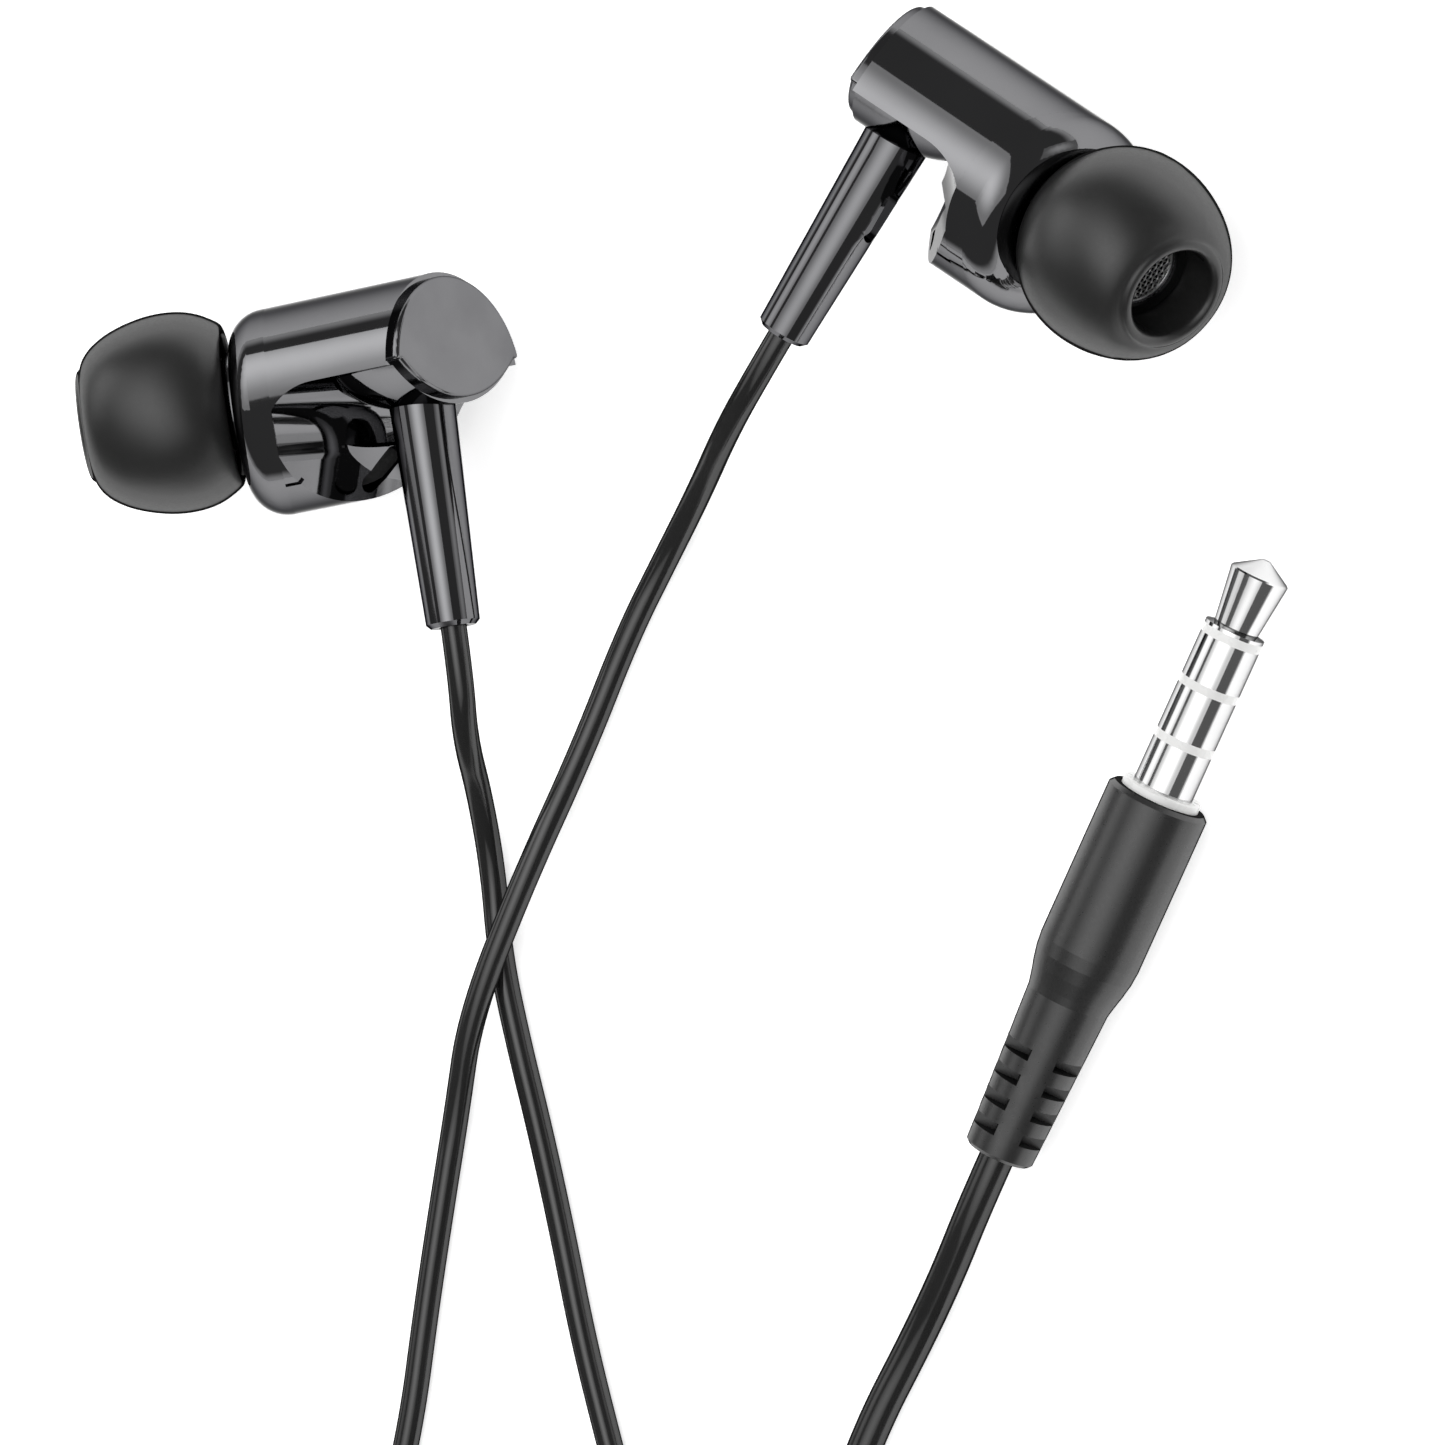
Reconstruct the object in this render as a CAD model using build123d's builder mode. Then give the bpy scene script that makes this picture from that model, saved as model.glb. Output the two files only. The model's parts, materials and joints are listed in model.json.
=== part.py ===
from build123d import *
from math import cos, radians, sin, tan
import os

# Wired in-ear earphones laid on a table, in millimetres, +Z up, everything resting on z = 0.
# The origin is under the middle of the two earbuds. Each earbud is modelled in its own
# frame: x runs along the housing from its back to its front, z is opposite to the stem,
# and "side" (+1 left, -1 right) is the sign of y on the side that the nozzle turns to.
os.makedirs("parts", exist_ok=True)

# Where the earbuds lie: (side, origin of the bud, heading of the housing, nose-up pitch)
BUDS = {
    "left": (1, (-11.05, -2.71, 7.697), 188.9, -6.6),
    "right": (-1, (13.48, 12.57, 6.649), -33.2, -2.6),
}

# Housing
CHAMBER_R = 5.95  # driver chamber and hood, one cylinder
WALL = 0.8
HOOD_EDGE_Z = 0.6  # lower edge of the hood
BOSS_R = 7.5  # the boss under the hood, a shallow arc across
BOSS_Z = 5.9
BOSS_TOP_Z = 1.6
BOSS_INSET = 0.6
BOSS_NOSE_X = 2.6
BOSS_SPACE_X = 4.75
HOOD_SPACE_X = 9.0
BEHIND = -3.0  # where bars along the housing start, before its back face is cut
SCOOP_TURN = 26.0  # the scooped back wall faces the nozzle's side
SCOOP_AT = 6.5  # the wall's place along its own direction
SCOOP_CORNER_R = 3.4
SCOOP_BEND_Z = -3.2  # below this the wall leans forward
SCOOP_BEND_R = 2.0
SCOOP_END = (8.1, -9.0)
DISH_R = 4.2
DISH_DEPTH = 0.8
DISH_Z = -2.4
SPACE_AT = 7.7  # inner face of the scooped wall
BACK_X = 0.6
BACK_TURN = 6.0  # the back face is turned a little to the nozzle's side
FRONT_X = 15.1
VENT_LENGTH = 3.6
VENT_WIDTH = 1.0
VENT_AT = (1.75, -4.25)
VENT_TILT = -38.0
VENT_MESH_LIP = 0.4
VENT_MESH_THICK = 0.15
GROOVE_TURN = 38.0  # the fine groove along the flank, measured round from the bottom
GROOVE_WIDTH = 0.25
GROOVE_DEPTH = 0.3
FAR = 30.0  # longer than any piece of an earbud

# Back cap
CAP_INSET = 0.3
CAP_CORNER_R = 0.15
CAP_EDGE = 0.2
SPIGOT_GAP = 0.05
SPIGOT_DEPTH = 0.4

# Nozzle, along its own axis from the front face
NOZZLE_TURN = 28.0
NOZZLE_SHIFT = 0.6
NOZZLE_RISE = 0.85
PARTING_T = -2.4
FRONT_WALL = 0.9
FRONT_ROUND = 2.2
FRONT_SPACE_R = 4.8
NOZZLE_R = 2.3
COLLAR_R = 3.0
COLLAR_T = 0.5
BARB_R = 2.65
BARB_T = 4.9
NOZZLE_END = 5.8
BORE_R = 1.8
MESH_R = 2.15
MESH_SEAT = 0.3
MESH_THICK = 0.2

# Ear tip, along the nozzle
TIP_BORE_R = 2.72  # runs 0.07 clear of the barb
TIP_CORE_R = 3.4
TIP_START = 0.9
TIP_MOUTH_R = 2.75
TIP_END = 9.0
TIP_WIDEST = (5.78, 4.1)
TIP_HEM = (4.6, 0.45)
TIP_SKIN = 0.5

# Driver, along the nozzle behind the front wall
FRAME_R = 4.5
FRAME_INNER_R = 4.0
FRAME_END = -3.1
FRAME_VENTS = 6

# Stem
STEM_X = 2.9
STEM_TOP_R = 1.9
STEM_END_R = 1.55
STEM_END_Z = -14.05
STEM_NECK_R = 1.2
STEM_FLANGE_R = 1.75
STEM_FLANGE_Z = (-0.5, 0.0)
SOCKET_GAP = 0.1
SOCKET_DEPTH = 0.7
RECESS_LENGTH = 3.2  # a slot in the stem's front, near its top
RECESS_WIDTH = 1.3
RECESS_Z = -5.4
RECESS_AT = 1.4  # its floor, from the stem's axis
RECESS_TURN = 12.0  # from straight ahead to the nozzle's side

# Cords. The routes run from the lead's start to its end, all on or just over the table.
LEAD_D = 1.5
MAIN_D = 2.0
CORNER_SHARE = 0.45  # of the shorter run beside a corner
LEFT_BUD_RUN = [
    (-11.83, -16.34, 7.36),
    (-11.28, -19.84, 7.36),
    (-11.75, -23.36, 5.8),
    (-12.3, -26.56, 2.75),
    (-12.4, -30.96, 0.75),
    (-11.95, -35.86, 0.75),
    (-10.8, -40.76, 0.75),
    (-9.35, -46.06, 0.75),
    (-8.0, -51.66, 0.75),
    (-6.65, -57.86, 0.75),
    (-4.92, -64.06, 0.75),
    (-3.52, -70.06, 0.9),
    (-2.92, -75.46, 1.35),
    (-2.82, -80.46, 1.35),
]
LEFT_SPLITTER_RUN = [
    (-2.82, -80.46, 1.35),
    (-2.72, -88.46, 1.2),
    (-3.22, -97.46, 0.75),
    (-3.75, -107.46, 0.75),
    (-4.72, -117.96, 0.75),
    (-4.62, -128.66, 0.75),
    (-0.42, -132.96, 0.75),
    (5.58, -132.86, 1.1),
    (9.88, -128.66, 2.1),
    (9.88, -122.76, 2.1),
]
RIGHT_BUD_RUN = [
    (8.59, -0.19, 6.52),
    (6.67, -3.12, 6.52),
    (4.2, -6.06, 5.1),
    (1.3, -9.36, 2.3),
    (-1.5, -13.16, 0.8),
    (-3.85, -17.36, 0.75),
    (-6.62, -24.06, 1.0),
    (-9.62, -31.36, 2.45),
    (-13.02, -39.16, 2.45),
    (-14.62, -44.76, 0.9),
    (-15.52, -49.46, 0.75),
    (-16.62, -55.96, 0.75),
    (-17.62, -62.96, 0.75),
    (-19.32, -69.46, 0.75),
    (-22.62, -75.06, 0.8),
    (-25.72, -80.06, 1.8),
    (-26.52, -84.06, 2.5),
    (-26.52, -87.66, 2.5),
]
RIGHT_REMOTE_RUN = [
    (-26.52, -111.26, 2.5),
    (-26.52, -115.06, 2.5),
    (-26.12, -120.06, 1.35),
    (-25.32, -124.86, 1.35),
]
RIGHT_SPLITTER_RUN = [
    (-21.32, -132.36, 1.35),
    (-14.82, -136.16, 1.0),
    (-7.82, -138.96, 0.75),
    (-0.32, -140.06, 0.75),
    (7.18, -137.26, 1.2),
    (12.28, -130.46, 2.1),
    (12.28, -122.76, 2.1),
]
MAIN_SPLITTER_RUN = [
    (11.08, -108.16, 2.1),
    (11.08, -104.66, 2.1),
    (10.78, -99.96, 1.6),
    (10.7, -95.26, 1.6),
    (10.95, -91.16, 1.6),
]
MAIN_PLUG_RUN = [
    (10.75, -88.96, 1.6),
    (9.98, -84.46, 1.6),
    (8.68, -78.46, 1.2),
    (8.28, -72.76, 1.0),
    (9.28, -67.26, 1.0),
    (11.38, -61.96, 1.0),
    (14.08, -57.16, 1.1),
    (16.38, -53.26, 2.0),
    (18.43, -49.31, 2.95),
    (20.09, -45.88, 2.95),
]
# Put-away coils: (middle, mean radius, width and height of the turns' section)
COIL_Z = 0.6  # the ties lift the turns this far
LEFT_COIL = ((-10.82, -80.46), 8.0, 4.5, 3.0)
RIGHT_COIL = ((-17.32, -125.46), 8.0, 4.5, 3.0)
MAIN_COIL = ((21.68, -89.46), 11.0, 8.0, 6.0)
COIL_CORNER = 0.9
TIE_THICK = 0.5
TIE_GAP = 0.05
TIE_ARC = 16.0

# Plug, along its axis from the collar's front face towards the tip
PLUG_AT = (29.64, -26.13, 2.95)
PLUG_HEADING = 64.2
PLUG_ROLL = 21.8
PIN_R = 1.75
PIN_LENGTH = 14.0
PIN_CORE_R = 0.45
PIN_TUBE_R = 0.7
PIN_BACK = -2.0
PIN_BACK_R = 1.5
TIP_WAIST_R = 1.3
TIP_HEAD_R = 1.7
TIP_POINT = 1.0
INSULATOR_STARTS = (2.65, 5.95, 9.05)
INSULATOR = 0.5
COLLAR_FLANGE_R = 2.3
COLLAR_FLANGE = 0.5
HANDLE_R = 2.95
HANDLE_END = -10.3
SHOULDER_END = -13.0
RELIEF_R = 2.4
RELIEF_END_R = 2.0
RELIEF_END = -22.6
RELIEF_SPIGOT_R = 1.4
WINDOW_ROWS = 4
WINDOW_START = -16.0
WINDOW_PITCH = 1.55
WINDOW = 0.7
WEB_HALF = 0.35
PILLAR_HALF = 0.75

# In-line remote, on the right lead
REMOTE_AT = (-26.52, -99.46, 0)
REMOTE_HEADING = -90.0
REMOTE_LENGTH = 25.0
REMOTE_WIDTH = 6.6
REMOTE_HEIGHT = 5.0
REMOTE_CORNER_R = 2.2
REMOTE_WALL = 0.8
REMOTE_EDGE_R = 0.6
BOARD_LENGTH = 18.0
BOARD_WIDTH = 4.8
BOARD_Z = 1.7
BOARD_THICK = 0.6
BUTTON_LENGTH = 9.0
BUTTON_WIDTH = 3.0
BUTTON_GAP = 0.05
BUTTON_TOP_Z = 5.3
MIC_X = 6.6

# Splitter, where the two leads join the main cord
SPLITTER_AT = (11.08, -115.46, 0)
SPLITTER_HEADING = 90.0
SPLITTER_LENGTH = 16.0
SPLITTER_WIDTH = 6.6
SPLITTER_HEIGHT = 4.2
SPLITTER_CORNER_R = 2.0
LEAD_SPACING = 2.4


def turned(plane, *outline):
    """A solid of revolution about the plane's y axis, from (radius, height) points."""
    with BuildPart() as piece:
        with BuildSketch(plane):
            with BuildLine():
                Polyline(*outline, close=True)
            make_face()
        revolve(axis=Axis(plane.origin, plane.y_dir))
    return piece.part


def save(part, name):
    part.label = name
    export_step(part, f"parts/{name}.step")


def within(frame, origin, x_dir, z_dir):
    """A plane given in another plane's own coordinates."""
    return Plane(frame * Plane(origin=origin, x_dir=x_dir, z_dir=z_dir))


def square_to(plane, distance):
    """The plane square to another plane's y axis, so far along it."""
    return Plane(origin=plane.origin + plane.y_dir * distance, z_dir=plane.y_dir)


# ---------------------------------------------------------------- planes of an earbud


def bud_plane(side, at, heading, pitch):
    """The bud's frame: x ahead, z opposite to the stem, which lies level."""
    h, p = radians(heading), radians(pitch)
    ahead = (cos(p) * cos(h), cos(p) * sin(h), sin(p))
    return Plane(origin=at, x_dir=ahead, z_dir=(side * sin(h), -side * cos(h), 0))


def section_plane(bud, x):
    """Across the housing, with sketch axes (y, z)."""
    return within(bud, (x, 0, 0), (0, 1, 0), (1, 0, 0))


def back_plane(bud, side):
    """The back face, with sketch axes (about y, z)."""
    turn = radians(BACK_TURN)
    return within(bud, (BACK_X, 0, 0), (side * sin(turn), cos(turn), 0), (cos(turn), -side * sin(turn), 0))


def scoop_plane(bud, side):
    """Through the housing's axis and square to the scooped wall, with sketch axes (ahead, z)."""
    turn = radians(SCOOP_TURN)
    return within(bud, (0, 0, 0), (cos(turn), -side * sin(turn), 0), (-side * sin(turn), -cos(turn), 0))


def wall_plane(bud, side, distance):
    """Parallel to the scooped wall, with sketch axes (to the nozzle's side, z)."""
    turn = radians(SCOOP_TURN)
    at = (distance * cos(turn), -side * distance * sin(turn), 0)
    return within(bud, at, (sin(turn), side * cos(turn), 0), (side * cos(turn), -sin(turn), 0))


def driver_plane(bud, side, rise=0.0):
    """On the driver's axis at the front face, with sketch axes (radius, along the axis)."""
    turn = radians(NOZZLE_TURN)
    at = (FRONT_X - NOZZLE_SHIFT * sin(turn), side * NOZZLE_SHIFT * cos(turn), rise)
    return within(bud, at, (0, 0, 1), (-side * sin(turn), cos(turn), 0))


def nozzle_plane(bud, side):
    """On the nozzle's axis, parallel to the driver's and a little above it."""
    return driver_plane(bud, side, NOZZLE_RISE)


def groove_plane(bud, side):
    """At the bottom of the flank's groove, with sketch axes (ahead, round the flank)."""
    turn = radians(GROOVE_TURN)
    outwards = (0, side * sin(turn), -cos(turn))
    depth = CHAMBER_R - GROOVE_DEPTH
    return within(bud, (0, outwards[1] * depth, outwards[2] * depth), (1, 0, 0), outwards)


def stem_plane(bud):
    """On the stem's axis, with sketch axes (radius, z)."""
    return within(bud, (STEM_X, 0, 0), (1, 0, 0), (0, -1, 0))


def recess_plane(bud, side):
    """The floor of the stem's recess, with sketch axes (along the stem, across)."""
    turn = radians(RECESS_TURN)
    ahead, aside = cos(turn), side * sin(turn)
    at = (STEM_X + RECESS_AT * ahead, RECESS_AT * aside, RECESS_Z)
    return within(bud, at, (0, 0, 1), (ahead, aside, 0))


# ---------------------------------------------------------------- pieces of an earbud


def make_boss(bud):
    """The lower part of a bar with a round nose, under the hood."""
    with BuildPart() as boss:
        with BuildSketch(section_plane(bud, BEHIND)):
            with Locations((0, BOSS_Z)):
                Circle(BOSS_R)
        extrude(amount=BOSS_NOSE_X - BEHIND)
        with Locations(bud * Location((BOSS_NOSE_X, 0, BOSS_Z), (0, -90, 0))):
            Sphere(BOSS_R)
        split(bisect_by=bud.offset(BOSS_TOP_Z), keep=Keep.BOTTOM)
        with BuildSketch(section_plane(bud, BEHIND)):
            Circle(CHAMBER_R - BOSS_INSET)
        extrude(amount=FAR, mode=Mode.INTERSECT)
    return boss.part


def back_outline(plane, inset, round_corners=0):
    """The hood's arch joined to the boss's chin."""
    with BuildSketch(plane) as outline:
        with Locations((0, HOOD_EDGE_Z + inset + CHAMBER_R)):
            Rectangle(3 * CHAMBER_R, 2 * CHAMBER_R)
        with Locations((0, BOSS_Z)):
            Circle(BOSS_R - inset)
        Circle(CHAMBER_R - inset, mode=Mode.INTERSECT)
        if round_corners:
            fillet(outline.vertices(), round_corners)
    return outline.sketch


def make_housing(bud, side):
    scoop = scoop_plane(bud, side)
    bowl_r = (DISH_R**2 + DISH_DEPTH**2) / (2 * DISH_DEPTH)
    with BuildPart() as dish:
        with Locations(scoop * Location((SCOOP_AT + DISH_DEPTH - bowl_r, DISH_Z, 0), (0, 0, 180))):
            Sphere(bowl_r)
        split(bisect_by=Plane(origin=scoop.origin + scoop.x_dir * SCOOP_AT, z_dir=scoop.x_dir))

    with BuildPart() as space:
        with BuildSketch(section_plane(bud, 0)):
            Circle(CHAMBER_R - WALL)
        extrude(amount=FAR)
        split(bisect_by=Plane(origin=scoop.origin + scoop.x_dir * SPACE_AT, z_dir=scoop.x_dir))

    with BuildPart() as housing:
        with BuildSketch(section_plane(bud, BEHIND)):
            Circle(CHAMBER_R)
        extrude(amount=FAR)
        split(bisect_by=square_to(nozzle_plane(bud, side), PARTING_T), keep=Keep.BOTTOM)
        # the scooped lower back, and the dish in its wall
        with BuildSketch(scoop):
            with BuildLine():
                cut = FilletPolyline(
                    (-FAR, HOOD_EDGE_Z),
                    (SCOOP_AT, HOOD_EDGE_Z),
                    (SCOOP_AT, SCOOP_BEND_Z),
                    SCOOP_END,
                    radius=[SCOOP_CORNER_R, SCOOP_BEND_R],
                )
                Polyline(cut @ 1, (-FAR, SCOOP_END[1]), cut @ 0)
            make_face()
        extrude(amount=FAR / 2, both=True, mode=Mode.SUBTRACT)
        add(dish.part, mode=Mode.SUBTRACT)
        add(make_boss(bud))
        split(bisect_by=back_plane(bud, side), keep=Keep.TOP)
        # the space inside: driver chamber, hood, boss
        add(space.part, mode=Mode.SUBTRACT)
        with BuildSketch(section_plane(bud, BEHIND)):
            with Locations((0, HOOD_EDGE_Z + WALL + CHAMBER_R)):
                Rectangle(3 * CHAMBER_R, 2 * CHAMBER_R)
            Circle(CHAMBER_R - WALL, mode=Mode.INTERSECT)
        extrude(amount=HOOD_SPACE_X - BEHIND, mode=Mode.SUBTRACT)
        extrude(
            back_outline(section_plane(bud, BEHIND), WALL),
            amount=BOSS_SPACE_X - BEHIND,
            dir=bud.x_dir,
            mode=Mode.SUBTRACT,
        )
        # the groove, the vent slot and the stem's hole
        with BuildSketch(groove_plane(bud, side)):
            Rectangle(FAR, GROOVE_WIDTH, align=(Align.MIN, Align.CENTER))
        extrude(amount=1, mode=Mode.SUBTRACT)
        with BuildSketch(wall_plane(bud, side, SCOOP_AT)):
            with Locations(Location(VENT_AT, VENT_TILT)):
                SlotOverall(VENT_LENGTH, VENT_WIDTH)
        extrude(amount=3, both=True, mode=Mode.SUBTRACT)
        with BuildSketch(bud):
            with Locations((STEM_X, 0)):
                Circle(STEM_NECK_R)
        extrude(amount=-4, mode=Mode.SUBTRACT)
    return housing.part


def make_end_cap(bud, side):
    back = back_plane(bud, side)
    with BuildPart() as cap:
        extrude(back_outline(back, CAP_INSET, CAP_CORNER_R), amount=BACK_X, dir=-back.z_dir)
        fillet(cap.faces().sort_by(Axis(back.origin, back.z_dir))[0].edges(), CAP_EDGE)
        extrude(back_outline(back, WALL + SPIGOT_GAP), amount=SPIGOT_DEPTH, dir=back.z_dir)
    return cap.part


def make_front_shell(bud, side):
    nozzle = nozzle_plane(bud, side)
    with BuildPart() as shell:
        with BuildSketch(section_plane(bud, 0)):
            Circle(CHAMBER_R)
        extrude(amount=FAR)
        split(bisect_by=square_to(nozzle, PARTING_T), keep=Keep.TOP)
        split(bisect_by=square_to(nozzle, 0), keep=Keep.BOTTOM)
        fillet(shell.edges().group_by(Axis(nozzle.origin, nozzle.y_dir))[-1], FRONT_ROUND)
        add(
            turned(
                nozzle,
                (0, -0.4),
                (COLLAR_R, -0.4),
                (COLLAR_R, COLLAR_T),
                (NOZZLE_R, COLLAR_T + 0.3),
                (NOZZLE_R, BARB_T - 0.1),
                (BARB_R, BARB_T),
                (BARB_R, BARB_T + 0.3),
                (BARB_R - 0.3, NOZZLE_END),
                (0, NOZZLE_END),
            )
        )
        add(
            turned(
                driver_plane(bud, side),
                (0, PARTING_T - 1),
                (FRONT_SPACE_R, PARTING_T - 1),
                (FRONT_SPACE_R, -FRONT_WALL),
                (0, -FRONT_WALL),
            ),
            mode=Mode.SUBTRACT,
        )
        add(
            turned(
                nozzle,
                (0, -FRONT_WALL - 1),
                (BORE_R, -FRONT_WALL - 1),
                (BORE_R, NOZZLE_END - MESH_SEAT),
                (MESH_R, NOZZLE_END - MESH_SEAT),
                (MESH_R, NOZZLE_END + 1),
                (0, NOZZLE_END + 1),
            ),
            mode=Mode.SUBTRACT,
        )
    return shell.part


def make_ear_tip(bud, side):
    nozzle = nozzle_plane(bud, side)
    with BuildPart() as tip:
        with BuildSketch(nozzle):
            with BuildLine():
                rim = ThreePointArc(
                    (TIP_MOUTH_R, TIP_END - 0.6),
                    (TIP_MOUTH_R + 0.4, TIP_END),
                    (TIP_MOUTH_R + 0.85, TIP_END - 0.3),
                )
                dome = ThreePointArc(rim @ 1, TIP_WIDEST, TIP_HEM)
                hem = Line(dome @ 1, (TIP_HEM[0] - TIP_SKIN, TIP_HEM[1] + 0.1))
                inside = ThreePointArc(
                    hem @ 1,
                    (TIP_WIDEST[0] - TIP_SKIN - 0.1, TIP_WIDEST[1]),
                    (TIP_CORE_R + 0.1, TIP_END - 1.5),
                )
                Polyline(
                    inside @ 1,
                    (TIP_CORE_R, TIP_START),
                    (TIP_BORE_R, TIP_START),
                    (TIP_BORE_R, NOZZLE_END + 0.15),
                    (TIP_MOUTH_R, NOZZLE_END + 0.35),
                    rim @ 0,
                )
            make_face()
        revolve(axis=Axis(nozzle.origin, nozzle.y_dir))
    return tip.part


def make_stem(bud, side):
    axis = stem_plane(bud)
    lead_r = LEAD_D / 2
    with BuildPart() as stem:
        add(
            turned(
                axis,
                (0, -1),
                (STEM_TOP_R, -1),
                (STEM_END_R, STEM_END_Z + 0.25),
                (STEM_END_R - 0.25, STEM_END_Z),
                (0, STEM_END_Z),
            )
        )
        add(make_boss(bud), mode=Mode.SUBTRACT)
        add(
            turned(
                axis,
                (0, STEM_FLANGE_Z[1]),
                (STEM_FLANGE_R, STEM_FLANGE_Z[1]),
                (STEM_FLANGE_R, STEM_FLANGE_Z[0]),
                (STEM_NECK_R, STEM_FLANGE_Z[0]),
                (STEM_NECK_R, -3),
                (0, -3),
            )
        )
        add(
            turned(
                axis,
                (0, 0),
                (lead_r - 0.2, 0),
                (lead_r - 0.2, STEM_END_Z + SOCKET_DEPTH),
                (lead_r + SOCKET_GAP, STEM_END_Z + SOCKET_DEPTH),
                (lead_r + SOCKET_GAP, STEM_END_Z - 1),
                (0, STEM_END_Z - 1),
            ),
            mode=Mode.SUBTRACT,
        )
        with BuildSketch(recess_plane(bud, side)):
            SlotOverall(RECESS_LENGTH, RECESS_WIDTH)
        extrude(amount=1, mode=Mode.SUBTRACT)
    return stem.part


def make_driver_frame(nozzle):
    """A ring with a slotted back plate that carries the yoke."""
    with BuildPart() as frame:
        add(
            turned(
                nozzle,
                (FRAME_INNER_R, -FRONT_WALL),
                (FRAME_R, -FRONT_WALL),
                (FRAME_R, FRAME_END),
                (2.6, FRAME_END),
                (2.6, FRAME_END + 0.4),
                (FRAME_INNER_R, FRAME_END + 0.4),
            )
        )
        with BuildSketch(square_to(nozzle, FRAME_END)):
            with PolarLocations(3.4, FRAME_VENTS):
                Circle(0.45)
        extrude(amount=1, both=True, mode=Mode.SUBTRACT)
    return frame.part


def make_driver(bud, side, name):
    """The moving-coil driver: frame, yoke, magnet, top plate, coil, diaphragm and cloth."""
    nozzle = driver_plane(bud, side)
    save(make_driver_frame(nozzle), f"{name}_driver_frame")
    yoke = turned(nozzle, (0, -4.5), (2.6, -4.5), (2.6, -2.6), (2.3, -2.6), (2.3, -4.1), (0, -4.1))
    save(yoke, f"{name}_driver_yoke")
    magnet = turned(nozzle, (0, -4.1), (1.7, -4.1), (1.7, -3.0), (0, -3.0))
    save(magnet, f"{name}_driver_magnet")
    plate = turned(nozzle, (0, -3.0), (1.75, -3.0), (1.75, -2.6), (0, -2.6))
    save(plate, f"{name}_driver_top_plate")
    coil = turned(nozzle, (1.95, -3.6), (2.1, -3.6), (2.1, -2.0), (1.95, -2.0))
    save(coil, f"{name}_voice_coil")
    diaphragm = turned(
        nozzle,
        (0, -1.35),
        (1.2, -1.5),
        (2.1, -1.88),
        (3.1, -1.5),
        (FRAME_INNER_R, -1.7),
        (FRAME_INNER_R, -1.82),
        (3.1, -1.62),
        (2.1, -2.0),
        (1.95, -2.0),
        (1.2, -1.62),
        (0, -1.47),
    )
    save(diaphragm, f"{name}_diaphragm")
    cloth = turned(nozzle, (2.8, FRAME_END), (3.95, FRAME_END), (3.95, FRAME_END - 0.15), (2.8, FRAME_END - 0.15))
    save(cloth, f"{name}_damping_cloth")


def make_nozzle_mesh(nozzle):
    seat = NOZZLE_END - MESH_SEAT
    return turned(nozzle, (0, seat), (MESH_R, seat), (MESH_R, seat + MESH_THICK), (0, seat + MESH_THICK))


def make_vent_mesh(bud, side):
    with BuildPart() as mesh:
        with BuildSketch(wall_plane(bud, side, SPACE_AT)):
            with Locations(Location((VENT_AT[0] - 0.35, VENT_AT[1] + 0.4), VENT_TILT)):
                SlotOverall(VENT_LENGTH, VENT_WIDTH + 2 * VENT_MESH_LIP)
        extrude(amount=side * VENT_MESH_THICK)
        with BuildSketch(section_plane(bud, 0)):
            Circle(CHAMBER_R - WALL - 0.05)
        extrude(amount=FAR, mode=Mode.INTERSECT)
    return mesh.part


def make_bud(name, side, at, heading, pitch):
    bud = bud_plane(side, at, heading, pitch)
    nozzle = nozzle_plane(bud, side)
    save(make_housing(bud, side), f"{name}_housing")
    save(make_end_cap(bud, side), f"{name}_end_cap")
    save(make_front_shell(bud, side), f"{name}_front_shell")
    save(make_ear_tip(bud, side), f"{name}_ear_tip")
    save(make_nozzle_mesh(nozzle), f"{name}_nozzle_mesh")
    save(make_vent_mesh(bud, side), f"{name}_vent_mesh")
    save(make_stem(bud, side), f"{name}_stem")
    make_driver(bud, side, name)


# ---------------------------------------------------------------- plug


def plug_plane():
    """On the plug's axis, y towards the tip, z up but rolled about the axis."""
    h, roll = radians(PLUG_HEADING), radians(PLUG_ROLL)
    along = Vector(cos(h), sin(h), 0)
    up = Vector(sin(roll) * sin(h), -sin(roll) * cos(h), cos(roll))
    return Plane(origin=PLUG_AT, x_dir=along.cross(up), z_dir=up)


def pin_ring(plug, start, end):
    """One contact or insulator of the pin, round its inner tube."""
    return turned(plug, (PIN_TUBE_R, start), (PIN_R, start), (PIN_R, end), (PIN_TUBE_R, end))


def make_tip_contact(plug):
    """The pin's pointed end, and the rod that carries it."""
    start = INSULATOR_STARTS[2] + INSULATOR
    return turned(
        plug,
        (0, PIN_BACK),
        (PIN_CORE_R, PIN_BACK),
        (PIN_CORE_R, start),
        (PIN_R, start),
        (PIN_R, start + 0.2),
        (TIP_WAIST_R, start + 0.3),
        (TIP_HEAD_R, PIN_LENGTH - TIP_POINT),
        (TIP_HEAD_R - 0.08, PIN_LENGTH - TIP_POINT + 0.1),
        (0.25, PIN_LENGTH - 0.05),
        (0, PIN_LENGTH),
    )


def make_front_insulator(plug):
    """The foremost insulator, with the tube that runs back between rod and rings."""
    start = INSULATOR_STARTS[2]
    return turned(
        plug,
        (PIN_CORE_R, PIN_BACK),
        (PIN_TUBE_R, PIN_BACK),
        (PIN_TUBE_R, start),
        (PIN_R, start),
        (PIN_R, start + INSULATOR),
        (PIN_CORE_R, start + INSULATOR),
    )


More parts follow.
